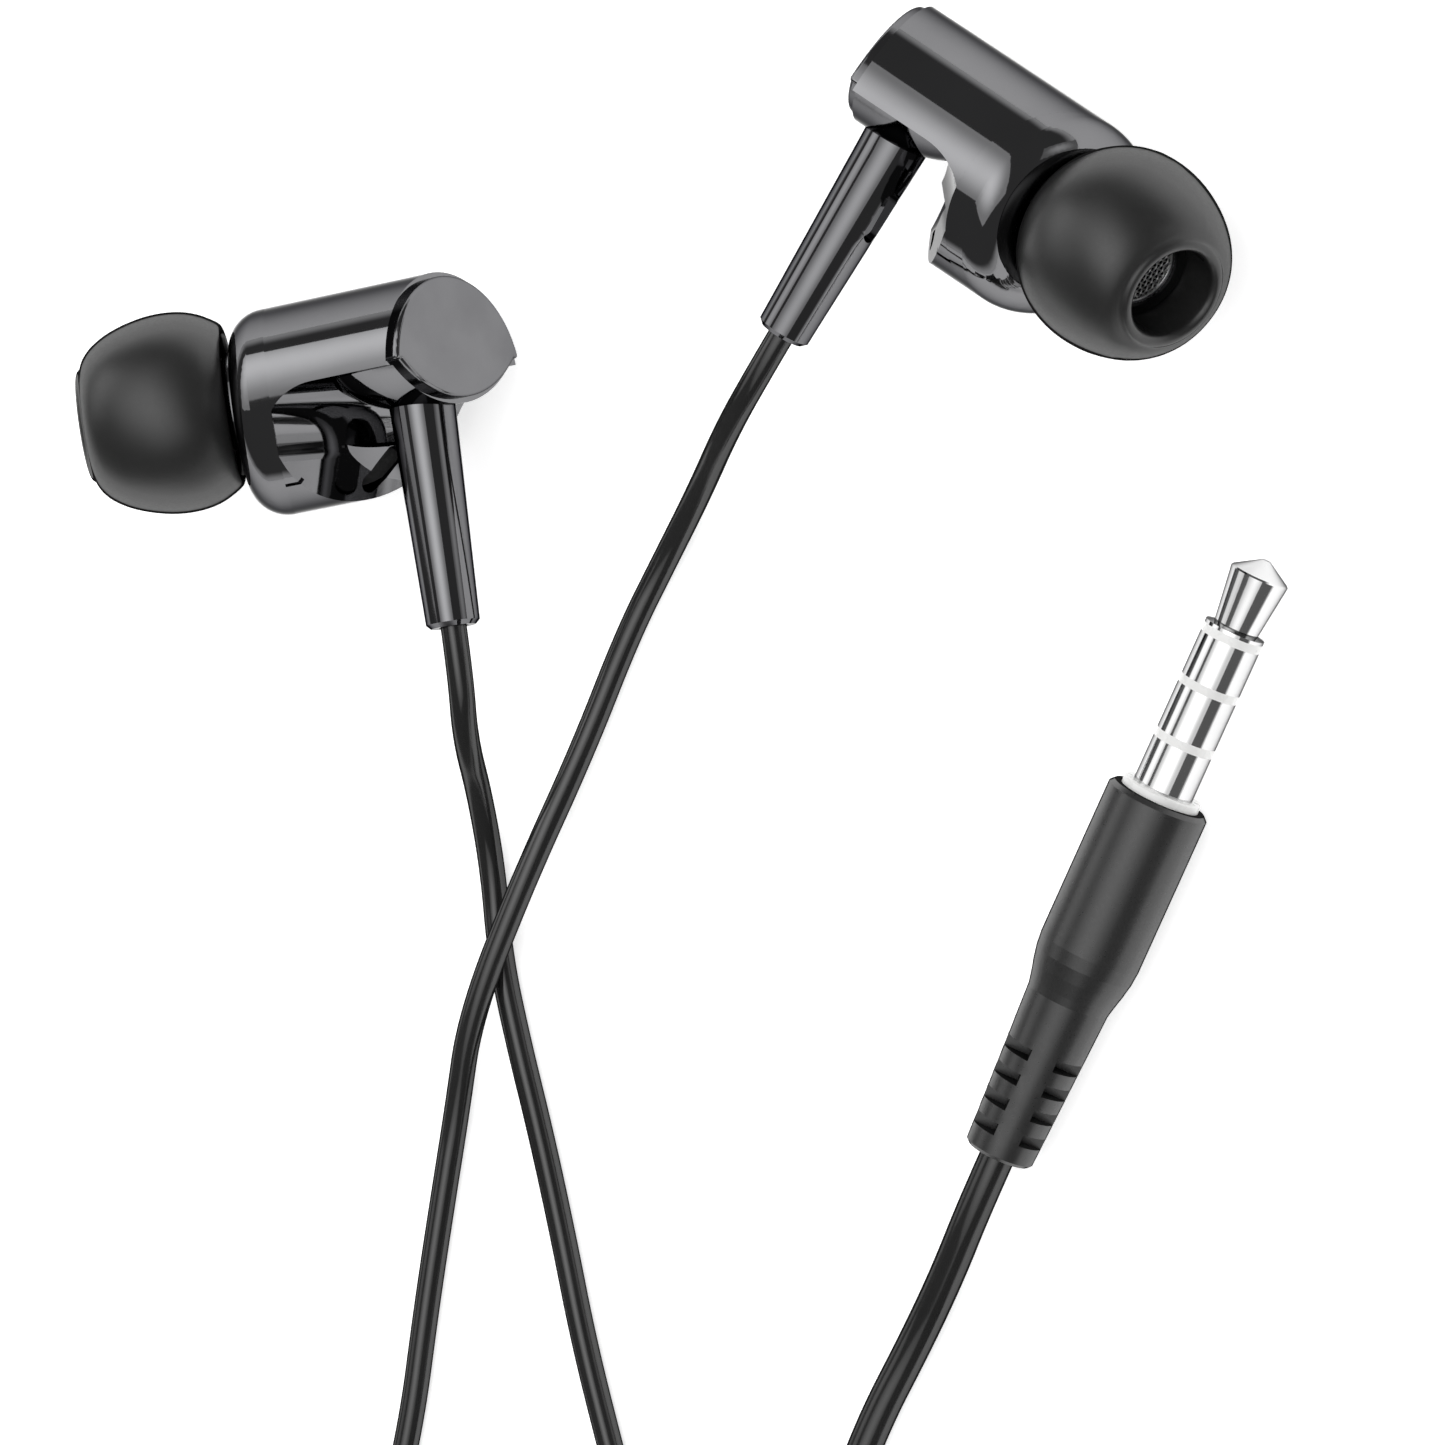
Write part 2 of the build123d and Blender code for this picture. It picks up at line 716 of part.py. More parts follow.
def make_strain_relief(plug):
    """A tapered sleeve with rows of windows that leave a thin web and a pillar."""
    with BuildPart() as relief:
        add(
            turned(
                plug,
                (0, SHOULDER_END + 1),
                (RELIEF_SPIGOT_R, SHOULDER_END + 1),
                (RELIEF_SPIGOT_R, SHOULDER_END),
                (RELIEF_R, SHOULDER_END),
                (RELIEF_END_R, RELIEF_END + 0.2),
                (RELIEF_END_R - 0.2, RELIEF_END),
                (MAIN_D / 2 + SOCKET_GAP, RELIEF_END),
                (MAIN_D / 2 + SOCKET_GAP, RELIEF_END + SOCKET_DEPTH),
                (0, RELIEF_END + SOCKET_DEPTH),
            )
        )
        for row in range(WINDOW_ROWS):
            at = plug.origin + plug.y_dir * (WINDOW_START - row * WINDOW_PITCH)
            with BuildSketch(Plane(origin=at, x_dir=plug.x_dir, z_dir=-plug.y_dir)):
                with GridLocations(2 * PILLAR_HALF + RELIEF_R, 2 * WEB_HALF + RELIEF_R, 2, 2):
                    Rectangle(RELIEF_R, RELIEF_R)
            extrude(amount=WINDOW, mode=Mode.SUBTRACT)
    return relief.part


def make_plug():
    plug = plug_plane()
    save(make_tip_contact(plug), "plug_tip_contact")
    save(make_front_insulator(plug), "plug_insulator_1")
    save(pin_ring(plug, INSULATOR_STARTS[1] + INSULATOR, INSULATOR_STARTS[2]), "plug_ring_contact_1")
    save(pin_ring(plug, INSULATOR_STARTS[1], INSULATOR_STARTS[1] + INSULATOR), "plug_insulator_2")
    save(pin_ring(plug, INSULATOR_STARTS[0] + INSULATOR, INSULATOR_STARTS[1]), "plug_ring_contact_2")
    save(pin_ring(plug, INSULATOR_STARTS[0], INSULATOR_STARTS[0] + INSULATOR), "plug_insulator_3")
    sleeve = turned(
        plug,
        (PIN_TUBE_R, PIN_BACK),
        (PIN_BACK_R, PIN_BACK),
        (PIN_BACK_R, 0),
        (PIN_R, 0),
        (PIN_R, INSULATOR_STARTS[0]),
        (PIN_TUBE_R, INSULATOR_STARTS[0]),
    )
    save(sleeve, "plug_sleeve_contact")
    collar = turned(
        plug,
        (PIN_BACK_R, -COLLAR_FLANGE),
        (COLLAR_FLANGE_R, -COLLAR_FLANGE),
        (COLLAR_FLANGE_R, -0.1),
        (COLLAR_FLANGE_R - 0.1, 0),
        (PIN_BACK_R, 0),
    )
    save(collar, "plug_collar")
    handle = turned(
        plug,
        (0, SHOULDER_END + 1),
        (RELIEF_SPIGOT_R, SHOULDER_END + 1),
        (RELIEF_SPIGOT_R, SHOULDER_END),
        (RELIEF_R, SHOULDER_END),
        (RELIEF_R + 0.1, SHOULDER_END + 0.5),
        (RELIEF_R + 0.32, SHOULDER_END + 1.4),
        (HANDLE_R - 0.07, HANDLE_END - 0.5),
        (HANDLE_R, HANDLE_END + 0.3),
        (HANDLE_R, -COLLAR_FLANGE - 0.25),
        (HANDLE_R - 0.25, -COLLAR_FLANGE),
        (PIN_BACK_R, -COLLAR_FLANGE),
        (PIN_BACK_R, PIN_BACK),
        (0, PIN_BACK),
    )
    save(handle, "plug_handle")
    save(make_strain_relief(plug), "plug_strain_relief")


# ---------------------------------------------------------------- remote and splitter


def on_table(at, heading):
    """A level plane, x along the heading."""
    h = radians(heading)
    return Plane(origin=at, x_dir=(cos(h), sin(h), 0), z_dir=(0, 0, 1))


def make_sockets(plane, height, entries):
    """The spaces of the sockets in a body's ends: (end's x, y, bore radius) for each cord."""
    with BuildPart() as sockets:
        for x, y, bore_r in entries:
            outwards = 1 if x > 0 else -1
            at = plane * Location((x - outwards * SOCKET_DEPTH, y, height))
            with BuildSketch(Plane(origin=at.position, z_dir=plane.x_dir * outwards)):
                Circle(bore_r)
            extrude(amount=2 * SOCKET_DEPTH)
    return sockets.part


def remote_sockets(remote):
    bore_r = LEAD_D / 2 + SOCKET_GAP
    entries = [(-REMOTE_LENGTH / 2, 0, bore_r), (REMOTE_LENGTH / 2, 0, bore_r)]
    return make_sockets(remote, REMOTE_HEIGHT / 2, entries)


def make_remote_back(remote):
    with BuildPart() as back:
        with BuildSketch(remote):
            RectangleRounded(REMOTE_LENGTH, REMOTE_WIDTH, REMOTE_CORNER_R)
        extrude(amount=REMOTE_HEIGHT / 2)
        fillet(back.faces().sort_by(Axis.Z)[0].edges(), REMOTE_EDGE_R)
        with BuildSketch(remote.offset(REMOTE_WALL)):
            Rectangle(BOARD_LENGTH - 1.6, BOARD_WIDTH - 1.2)
        extrude(amount=REMOTE_HEIGHT, mode=Mode.SUBTRACT)
        with BuildSketch(remote.offset(BOARD_Z)):
            Rectangle(BOARD_LENGTH + 0.2, BOARD_WIDTH + 0.2)
        extrude(amount=REMOTE_HEIGHT, mode=Mode.SUBTRACT)
        add(remote_sockets(remote), mode=Mode.SUBTRACT)
    return back.part


def make_remote_front(remote):
    with BuildPart() as front:
        with BuildSketch(remote.offset(REMOTE_HEIGHT / 2)):
            RectangleRounded(REMOTE_LENGTH, REMOTE_WIDTH, REMOTE_CORNER_R)
        extrude(amount=REMOTE_HEIGHT / 2)
        fillet(front.faces().sort_by(Axis.Z)[-1].edges(), REMOTE_EDGE_R)
        with BuildSketch(remote.offset(REMOTE_HEIGHT / 2)):
            Rectangle(BOARD_LENGTH + 0.2, BOARD_WIDTH + 0.2)
        extrude(amount=REMOTE_HEIGHT / 2 - REMOTE_WALL, mode=Mode.SUBTRACT)
        with BuildSketch(remote):
            SlotOverall(BUTTON_LENGTH + 2 * BUTTON_GAP, BUTTON_WIDTH + 2 * BUTTON_GAP)
            with Locations((MIC_X, 0)):
                Circle(0.3)
        extrude(amount=2 * REMOTE_HEIGHT, mode=Mode.SUBTRACT)
        add(remote_sockets(remote), mode=Mode.SUBTRACT)
    return front.part


def make_remote_button(remote):
    """A cap that fills the shell's slot, a flange under the shell and a plunger."""
    flange_z = REMOTE_HEIGHT - REMOTE_WALL - 0.6
    with BuildPart() as button:
        with BuildSketch(remote.offset(flange_z)):
            SlotOverall(BUTTON_LENGTH, BUTTON_WIDTH)
        extrude(amount=BUTTON_TOP_Z - flange_z)
        fillet(button.faces().sort_by(Axis.Z)[-1].edges(), 0.25)
        with BuildSketch(remote.offset(flange_z)):
            SlotOverall(BUTTON_LENGTH + 1.4, BUTTON_WIDTH + 1.0)
        extrude(amount=0.5)
        with BuildSketch(remote.offset(flange_z)):
            Circle(0.5)
        extrude(amount=-0.15)
    return button.part


def make_remote():
    remote = on_table(REMOTE_AT, REMOTE_HEADING)
    save(make_remote_back(remote), "remote_back_shell")
    save(make_remote_front(remote), "remote_front_shell")
    save(make_remote_button(remote), "remote_button")
    board_top = BOARD_Z + BOARD_THICK
    with BuildPart() as board:
        with BuildSketch(remote.offset(BOARD_Z)):
            Rectangle(BOARD_LENGTH, BOARD_WIDTH)
        extrude(amount=BOARD_THICK)
    save(board.part, "remote_board")
    with BuildPart() as switch:
        with BuildSketch(remote.offset(board_top)):
            Circle(1.4)
        extrude(amount=0.4)
        with BuildSketch(remote.offset(board_top)):
            Circle(0.6)
        extrude(amount=0.75)
    save(switch.part, "remote_switch")
    with BuildPart() as microphone:
        with BuildSketch(remote.offset(board_top)):
            with Locations((MIC_X, 0)):
                Rectangle(2.4, 1.8)
                Circle(0.35, mode=Mode.SUBTRACT)
        extrude(amount=0.9)
    save(microphone.part, "remote_microphone")


def make_splitter_half(splitter, base, outer_face):
    """Half of the splitter: outer_face 0 for the lower half, -1 for the upper."""
    lead_bore = LEAD_D / 2 + SOCKET_GAP
    entries = [
        (-SPLITTER_LENGTH / 2, -LEAD_SPACING / 2, lead_bore),
        (-SPLITTER_LENGTH / 2, LEAD_SPACING / 2, lead_bore),
        (SPLITTER_LENGTH / 2, 0, MAIN_D / 2 + SOCKET_GAP),
    ]
    with BuildPart() as half:
        with BuildSketch(splitter.offset(base)):
            RectangleRounded(SPLITTER_LENGTH, SPLITTER_WIDTH, SPLITTER_CORNER_R)
        extrude(amount=SPLITTER_HEIGHT / 2)
        fillet(half.faces().sort_by(Axis.Z)[outer_face].edges(), REMOTE_EDGE_R)
        add(make_sockets(splitter, SPLITTER_HEIGHT / 2, entries), mode=Mode.SUBTRACT)
    return half.part


def make_splitter():
    splitter = on_table(SPLITTER_AT, SPLITTER_HEADING)
    save(make_splitter_half(splitter, 0, 0), "splitter_lower_half")
    save(make_splitter_half(splitter, SPLITTER_HEIGHT / 2, -1), "splitter_upper_half")


# ---------------------------------------------------------------- cords


def make_cord(name, points, diameter):
    """A tube along straight runs joined by tangent arcs."""
    points = [Vector(point) for point in points]
    runs = [after - before for before, after in zip(points, points[1:])]
    radii = []
    for before, after in zip(runs, runs[1:]):
        turn = radians(before.get_angle(after))
        radii.append(CORNER_SHARE * min(before.length, after.length) / tan(turn / 2))
    with BuildPart() as cord:
        with BuildLine() as path:
            FilletPolyline(*points, radius=radii)
        with BuildSketch(Plane(origin=points[0], z_dir=runs[0])):
            Circle(diameter / 2)
        sweep()
    save(cord.part, name)
    length = path.wire().length
    share = cord.part.volume / (length * Circle(diameter / 2, mode=Mode.PRIVATE).area)
    print(f"{name}: {length:.1f} mm, volume share {share:.4f}, smallest radius {min(radii):.1f} mm")


def ring_section(width, height, corner):
    """Points round a bevelled rectangle, from its inner lower corner."""
    w = width / 2
    return [
        (-w, corner),
        (-w + corner, 0),
        (w - corner, 0),
        (w, corner),
        (w, height - corner),
        (w - corner, height),
        (-w + corner, height),
        (-w, height - corner),
    ]


def make_coil(name, middle, mean_r, width, height):
    axis = Plane(origin=(*middle, COIL_Z), x_dir=(1, 0, 0), z_dir=(0, -1, 0))
    outline = [(mean_r + r, z) for r, z in ring_section(width, height, COIL_CORNER)]
    save(turned(axis, *outline), name)


def make_tie(name, middle, mean_r, width, height, heading):
    """A short band round a coil's turns."""
    h = radians(heading - TIE_ARC / 2)
    base = COIL_Z - TIE_GAP
    axis = Plane(origin=(*middle, base), x_dir=(cos(h), sin(h), 0), z_dir=(sin(h), -cos(h), 0))
    width += 2 * TIE_GAP
    height += 2 * TIE_GAP
    outer = ring_section(width + 2 * TIE_THICK, height + 2 * TIE_THICK, COIL_CORNER + TIE_THICK / 2)
    inner = ring_section(width, height, COIL_CORNER)
    with BuildPart() as tie:
        with BuildSketch(axis):
            with BuildLine():
                Polyline(*[(mean_r + r, z - TIE_THICK) for r, z in outer], close=True)
            make_face()
            with BuildLine():
                Polyline(*[(mean_r + r, z) for r, z in inner], close=True)
            make_face(mode=Mode.SUBTRACT)
        revolve(axis=Axis(axis.origin, axis.y_dir), revolution_arc=TIE_ARC)
    save(tie.part, name)


def make_cords():
    make_cord("left_lead_bud_run", LEFT_BUD_RUN, LEAD_D)
    make_cord("left_lead_splitter_run", LEFT_SPLITTER_RUN, LEAD_D)
    make_cord("right_lead_bud_run", RIGHT_BUD_RUN, LEAD_D)
    make_cord("right_lead_remote_run", RIGHT_REMOTE_RUN, LEAD_D)
    make_cord("right_lead_splitter_run", RIGHT_SPLITTER_RUN, LEAD_D)
    make_cord("main_cord_splitter_run", MAIN_SPLITTER_RUN, MAIN_D)
    make_cord("main_cord_plug_run", MAIN_PLUG_RUN, MAIN_D)
    make_coil("left_lead_coil", *LEFT_COIL)
    make_coil("right_lead_coil", *RIGHT_COIL)
    make_coil("main_cord_coil", *MAIN_COIL)
    make_tie("left_lead_tie", *LEFT_COIL, 180)
    make_tie("right_lead_tie", *RIGHT_COIL, 60)
    make_tie("main_cord_tie", *MAIN_COIL, 20)


for name, placing in BUDS.items():
    make_bud(name, *placing)
make_plug()
make_remote()
make_splitter()
make_cords()
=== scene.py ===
import json
from math import cos, pi, radians, sin

import bmesh
import bpy
from mathutils import Matrix, Vector


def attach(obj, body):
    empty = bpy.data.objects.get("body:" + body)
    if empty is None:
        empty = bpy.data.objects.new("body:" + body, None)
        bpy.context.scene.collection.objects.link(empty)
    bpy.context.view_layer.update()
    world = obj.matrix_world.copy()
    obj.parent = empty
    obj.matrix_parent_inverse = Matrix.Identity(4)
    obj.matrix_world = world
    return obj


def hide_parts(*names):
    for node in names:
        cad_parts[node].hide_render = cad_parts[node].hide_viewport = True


# Wired in-ear earphones as they lie on a white table, seen from above. Lengths are in
# millimetres and are turned to metres where they meet Blender.

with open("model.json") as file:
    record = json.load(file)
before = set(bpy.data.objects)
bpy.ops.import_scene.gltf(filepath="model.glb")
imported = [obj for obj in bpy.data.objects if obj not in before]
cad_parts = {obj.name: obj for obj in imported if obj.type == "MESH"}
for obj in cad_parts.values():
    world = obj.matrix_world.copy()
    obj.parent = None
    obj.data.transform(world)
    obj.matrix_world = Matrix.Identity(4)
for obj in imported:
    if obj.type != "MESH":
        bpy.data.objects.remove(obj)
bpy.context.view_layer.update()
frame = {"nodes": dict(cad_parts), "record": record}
MM = 0.001

# ---------------------------------------------------------------- camera

# Straight above the earbuds, leaned a little to their right.
LEAN = radians(24.0)
DISTANCE = 0.5
TARGET = Vector((1.68 * MM, -22.46 * MM, 0))
VIEW_WIDTH = 0.0821
SENSOR = 36.0

camera_data = bpy.data.cameras.new("camera")
camera_data.sensor_width = SENSOR
camera_data.lens = SENSOR * DISTANCE / VIEW_WIDTH
camera_data.clip_start = 0.01
camera_data.clip_end = 10.0
camera = bpy.data.objects.new("camera", camera_data)
bpy.context.scene.collection.objects.link(camera)
towards = Vector((sin(LEAN), 0, cos(LEAN)))
camera.matrix_world = Matrix.Translation(TARGET + towards * DISTANCE) @ Matrix.Rotation(LEAN, 4, "Y")
bpy.context.scene.camera = camera

# ---------------------------------------------------------------- cords

LEAD_D = 1.5
MAIN_D = 2.0
COIL_Z = 0.6  # the ties lift the turns this far
POINTS_PER_TURN = 14
SHIFT_POINTS = 4  # a turn moves to its next place over this many points
INSIDE_POLYGON = 0.975  # how far inside its control points a curve of 14 a turn runs

LEFT_BUD_RUN = [
    (-11.83, -16.34, 7.36),
    (-11.28, -19.84, 7.36),
    (-11.75, -23.36, 5.8),
    (-12.3, -26.56, 2.75),
    (-12.4, -30.96, 0.75),
    (-11.95, -35.86, 0.75),
    (-10.8, -40.76, 0.75),
    (-9.35, -46.06, 0.75),
    (-8.0, -51.66, 0.75),
    (-6.65, -57.86, 0.75),
    (-4.92, -64.06, 0.75),
    (-3.05, -70.06, 0.9),
    (-1.75, -75.66, 1.35),
]
LEFT_SPLITTER_RUN = [
    (-1.55, -88.46, 2.2),
    (-2.85, -97.46, 0.85),
    (-3.75, -107.46, 0.75),
    (-4.72, -117.96, 0.75),
    (-4.62, -128.66, 0.75),
    (-0.42, -132.96, 0.75),
    (5.58, -132.86, 1.1),
    (9.88, -128.66, 2.1),
    (9.88, -122.76, 2.1),
]
RIGHT_BUD_RUN = [
    (8.59, -0.19, 6.52),
    (6.67, -3.12, 6.52),
    (4.2, -6.06, 5.1),
    (1.3, -9.36, 2.3),
    (-1.5, -13.16, 0.8),
    (-3.85, -17.36, 0.75),
    (-6.62, -24.06, 1.0),
    (-9.62, -31.36, 2.45),
    (-13.02, -39.16, 2.45),
    (-14.62, -44.76, 0.9),
    (-15.52, -49.46, 0.75),
    (-16.62, -55.96, 0.75),
    (-17.62, -62.96, 0.75),
    (-19.32, -69.46, 0.75),
    (-22.62, -75.06, 0.8),
    (-25.72, -80.06, 1.8),
    (-26.52, -84.06, 2.5),
    (-26.52, -87.66, 2.5),
]
RIGHT_REMOTE_RUN = [
    (-26.52, -111.26, 2.5),
    (-26.52, -115.06, 2.5),
    (-26.65, -120.06, 1.35),
]
RIGHT_SPLITTER_RUN = [
    (-14.82, -136.96, 1.6),
    (-7.82, -139.26, 0.75),
    (-0.32, -140.06, 0.75),
    (7.18, -137.26, 1.2),
    (12.28, -130.46, 2.1),
    (12.28, -122.76, 2.1),
]
MAIN_SPLITTER_RUN = [
    (11.08, -108.16, 2.1),
    (11.08, -104.66, 2.1),
    (10.45, -99.76, 1.6),
]
MAIN_PLUG_RUN = [
    (7.55, -84.46, 2.6),
    (7.75, -78.46, 1.2),
    (8.28, -72.76, 1.0),
    (9.28, -67.26, 1.0),
    (11.38, -61.96, 1.0),
    (14.08, -57.16, 1.1),
    (16.38, -53.26, 2.0),
    (18.43, -49.31, 2.95),
    (20.09, -45.88, 2.95),
]


def coil_turns(middle, start, turns, way, diameter, places):
    """Control points of a coil, from start in degrees; way is +1 anticlockwise.

    The places are the (radius, layer) of each turn.
    """
    points = []
    count = round(turns * POINTS_PER_TURN)
    for i in range(count + 1):
        turn = min(i // POINTS_PER_TURN, len(places) - 1)
        after = min(turn + 1, len(places) - 1)
        left = POINTS_PER_TURN - i % POINTS_PER_TURN
        share = max(0.0, 1 - left / SHIFT_POINTS)
        radius = places[turn][0] * (1 - share) + places[after][0] * share
        layer = places[turn][1] * (1 - share) + places[after][1] * share
        angle = radians(start) + way * 2 * pi * i / POINTS_PER_TURN
        z = COIL_Z + diameter * (0.5 + layer)
        x = middle[0] + radius / INSIDE_POLYGON * cos(angle)
        y = middle[1] + radius / INSIDE_POLYGON * sin(angle)
        points.append((x, y, z))
    return points


def cord_curve(name, points, diameter):
    """A round cord on one smooth curve; the curve is in millimetres and its object scales it."""
    curve = bpy.data.curves.new(name, "CURVE")
    curve.dimensions = "3D"
    spline = curve.splines.new("NURBS")
    spline.points.add(len(points) - 1)
    for point, at in zip(spline.points, points):
        point.co = (*at, 1)
    spline.order_u = 3
    spline.use_endpoint_u = True
    spline.resolution_u = 10
    curve.bevel_depth = diameter / 2
    curve.bevel_resolution = 6
    curve.use_fill_caps = True
    cord = bpy.data.objects.new(name, curve)
    cord.scale = (MM, MM, MM)
    bpy.context.scene.collection.objects.link(cord)
    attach(cord, "earphones")
    return cord


LEAD_PLACES = [(9.5, 0), (8, 0), (6.5, 0), (8, 1), (9.5, 1)]
MAIN_PLACES = [
    (14, 0), (12, 0), (10, 0), (8, 0), (8, 1), (8, 2), (10, 2), (10, 1), (12, 1), (12, 2), (14, 1),
]
left_lead = cord_curve(
    "left_lead",
    LEFT_BUD_RUN
    + coil_turns((-10.82, -80.46), 0, 5, -1, LEAD_D, LEAD_PLACES)
    + LEFT_SPLITTER_RUN,
    LEAD_D,
)
right_lead_upper = cord_curve("right_lead_upper", RIGHT_BUD_RUN, LEAD_D)
right_lead_lower = cord_curve(
    "right_lead_lower",
    RIGHT_REMOTE_RUN
    + coil_turns((-17.32, -125.46), 178, 4.17, 1, LEAD_D, LEAD_PLACES)
    + RIGHT_SPLITTER_RUN,
    LEAD_D,
)
main_cord = cord_curve(
    "main_cord",
    MAIN_SPLITTER_RUN + coil_turns((21.68, -89.46), 200, 11, -1, MAIN_D, MAIN_PLACES) + MAIN_PLUG_RUN,
    MAIN_D,
)

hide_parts("left_lead_bud_run", "left_lead_coil", "left_lead_splitter_run")
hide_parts("right_lead_bud_run")
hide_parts("right_lead_remote_run", "right_lead_coil", "right_lead_splitter_run")
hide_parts("main_cord_splitter_run", "main_cord_coil", "main_cord_plug_run")

nodes = frame["nodes"]


# ---------------------------------------------------------------- ear tips and nozzle meshes

# How the earbuds lie: side (+1 left, -1 right), origin, heading and pitch of the housing.
BUDS = {
    "left": (1, (-11.05, -2.71, 7.697), 188.9, -6.6),
    "right": (-1, (13.48, 12.57, 6.649), -33.2, -2.6),
}
NOZZLE_TURN = radians(28.0)
NOZZLE_AHEAD = 15.1
NOZZLE_ASIDE = 0.6
NOZZLE_UP = 0.85
MESH_HEIGHT = 5.55  # along the nozzle
MESH_R = 2.1
EDGE_R = 0.09
EDGE_SIDES = 8
EDGE_STEPS = 72
WIRE_R = 0.055
WIRE_PITCH = 0.27
WIRE_SIDES = 6

# The tip's section, by (radius, height along the nozzle): corners of a closed spline.
TIP_SECTION = (
    (2.72, 0.9), (2.72, 1.2), (2.72, 3.2), (2.72, 5.5), (2.71, 5.95), (2.66, 6.15), (2.6, 7.0),
    (2.56, 8.1), (2.56, 8.5), (2.62, 8.78), (2.8, 8.97), (3.0, 9.0), (3.17, 8.93), (3.28, 8.81),
    (3.4, 8.73), (3.62, 8.64), (3.98, 8.42), (4.47, 7.93), (5.0, 7.08), (5.42, 6.0), (5.7, 4.8),
    (5.79, 3.7), (5.7, 2.6), (5.42, 1.65), (5.0, 0.88), (4.72, 0.5), (4.5, 0.38), (4.27, 0.4),
    (4.14, 0.55), (4.25, 0.85), (4.7, 1.5), (5.06, 2.4), (5.16, 3.4), (5.08, 4.5), (4.75, 5.6),
    (4.3, 6.5), (3.85, 7.2), (3.6, 7.42), (3.45, 7.3), (3.4, 6.9), (3.4, 5.0), (3.4, 3.0),
    (3.4, 1.2), (3.38, 0.98), (3.25, 0.9), (3.0, 0.9),
)
TIP_STEPS = 144
SECTION_STEPS = 3  # points between two corners of the section
SEAM_HEIGHT = 0.012  # the moulding's parting line stands out this far, at two places round the tip
SEAM_HALF = 0.006  # of a turn
SKIN_R = 3.5  # all of the section outside this is the skin that the line runs along


def nozzle_matrix(side, at, heading, pitch):
    """From the nozzle's own millimetres (z along its axis) to metres."""
    h, p = radians(heading), radians(pitch)
    ahead = Vector((cos(p) * cos(h), cos(p) * sin(h), sin(p)))
    up = Vector((side * sin(h), -side * cos(h), 0))
    aside = up.cross(ahead) * side
    axis = ahead * cos(NOZZLE_TURN) + aside * sin(NOZZLE_TURN)
    at = Vector(at) + ahead * (NOZZLE_AHEAD - NOZZLE_ASIDE * sin(NOZZLE_TURN))
    at += aside * NOZZLE_ASIDE * cos(NOZZLE_TURN) + up * NOZZLE_UP
    across = up.cross(axis)
    turn = Matrix((across, axis.cross(across), axis)).transposed()
    return Matrix.Scale(MM, 4) @ Matrix.Translation(at) @ turn.to_4x4()


def smooth_loop(corners, steps):
    """A closed Catmull-Rom curve through the corners."""
    points = []
    count = len(corners)
    for i in range(count):
        a, b, c, d = (Vector(corners[(i + k) % count]) for k in (-1, 0, 1, 2))
        for step in range(steps):
            t = step / steps
            points.append(
                b
                + 0.5 * (c - a) * t
                + 0.5 * (2 * a - 5 * b + 4 * c - d) * t**2
                + 0.5 * (3 * b - a - 3 * c + d) * t**3
            )
    return points


def mesh_piece(name, form, matrix, body, replaced):
    """A smooth piece from a bmesh in nozzle millimetres, riding on a body."""
    form.transform(matrix)
    bmesh.ops.recalc_face_normals(form, faces=form.faces)
    mesh = bpy.data.meshes.new(name)
    form.to_mesh(mesh)
    form.free()
    for face in mesh.polygons:
        face.use_smooth = True
    piece = bpy.data.objects.new(name, mesh)
    bpy.context.scene.collection.objects.link(piece)
    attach(piece, body)
    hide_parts(replaced)
    return piece


def seam_lift(share):
    """How far the skin stands out at this share of a turn."""
    away = min(abs(share - 0.25), abs(share - 0.75))
    return SEAM_HEIGHT * max(0.0, 1 - away / SEAM_HALF)


def tip_form():
    """The soft tip: skirt, rolled hem and rim, core and bore, turned round the nozzle."""
    form = bmesh.new()
    section = smooth_loop(TIP_SECTION, SECTION_STEPS)
    rings = []
    for step in range(TIP_STEPS):
        turn = 2 * pi * step / TIP_STEPS
        lift = seam_lift(step / TIP_STEPS)
        ring = []
        for radius, height in section:
            outer = radius + (lift if radius > SKIN_R else 0)
            ring.append(form.verts.new((outer * cos(turn), outer * sin(turn), height)))
        rings.append(ring)
    for ring, after in zip(rings, rings[1:] + rings[:1]):
        for i in range(len(section)):
            j = (i + 1) % len(section)
            form.faces.new((ring[i], ring[j], after[j], after[i]))
    return form


def tube(form, path, radius, sides, closed=False):
    """A thin tube along a path that lies nearly level."""
    loops = []
    for i, point in enumerate(path):
        before = path[i - 1] if i or closed else point
        after = path[(i + 1) % len(path)] if i + 1 < len(path) or closed else point
        along = (after - before).normalized()
        level = along.cross(Vector((0, 0, 1))).normalized()
        upright = level.cross(along)
        loop = []
        for k in range(sides):
            a = 2 * pi * k / sides
            loop.append(form.verts.new(point + radius * (level * cos(a) + upright * sin(a))))
        loops.append(loop)
    ends = loops[1:] + loops[:1] if closed else loops[1:]
    for loop, after in zip(loops, ends):
        for k in range(sides):
            n = (k + 1) % sides
            form.faces.new((loop[k], loop[n], after[n], after[k]))
    if not closed:
        form.faces.new(loops[0])
        form.faces.new(loops[-1][::-1])


def weave_form():
    """A round piece of plain woven wire cloth with a rolled edge."""
    form = bmesh.new()
    count = int(MESH_R / WIRE_PITCH)
    for across in (0, 1):
        for i in range(-count, count + 1):
            offset = i * WIRE_PITCH
            half = (MESH_R**2 - offset**2) ** 0.5
            last = int(half / WIRE_PITCH * 2)
            if last < 2:
                continue
            path = []
            for k in range(-last, last + 1):
                along = k * WIRE_PITCH / 2
                rise = WIRE_R * cos(pi * (along / WIRE_PITCH + i + across))
                place = (offset, along) if across else (along, offset)
                path.append(Vector((*place, MESH_HEIGHT + rise)))
            tube(form, path, WIRE_R, WIRE_SIDES)
    edge = []
    for k in range(EDGE_STEPS):
        a = 2 * pi * k / EDGE_STEPS
        edge.append(Vector((MESH_R * cos(a), MESH_R * sin(a), MESH_HEIGHT)))
    tube(form, edge, EDGE_R, EDGE_SIDES, closed=True)
    return form


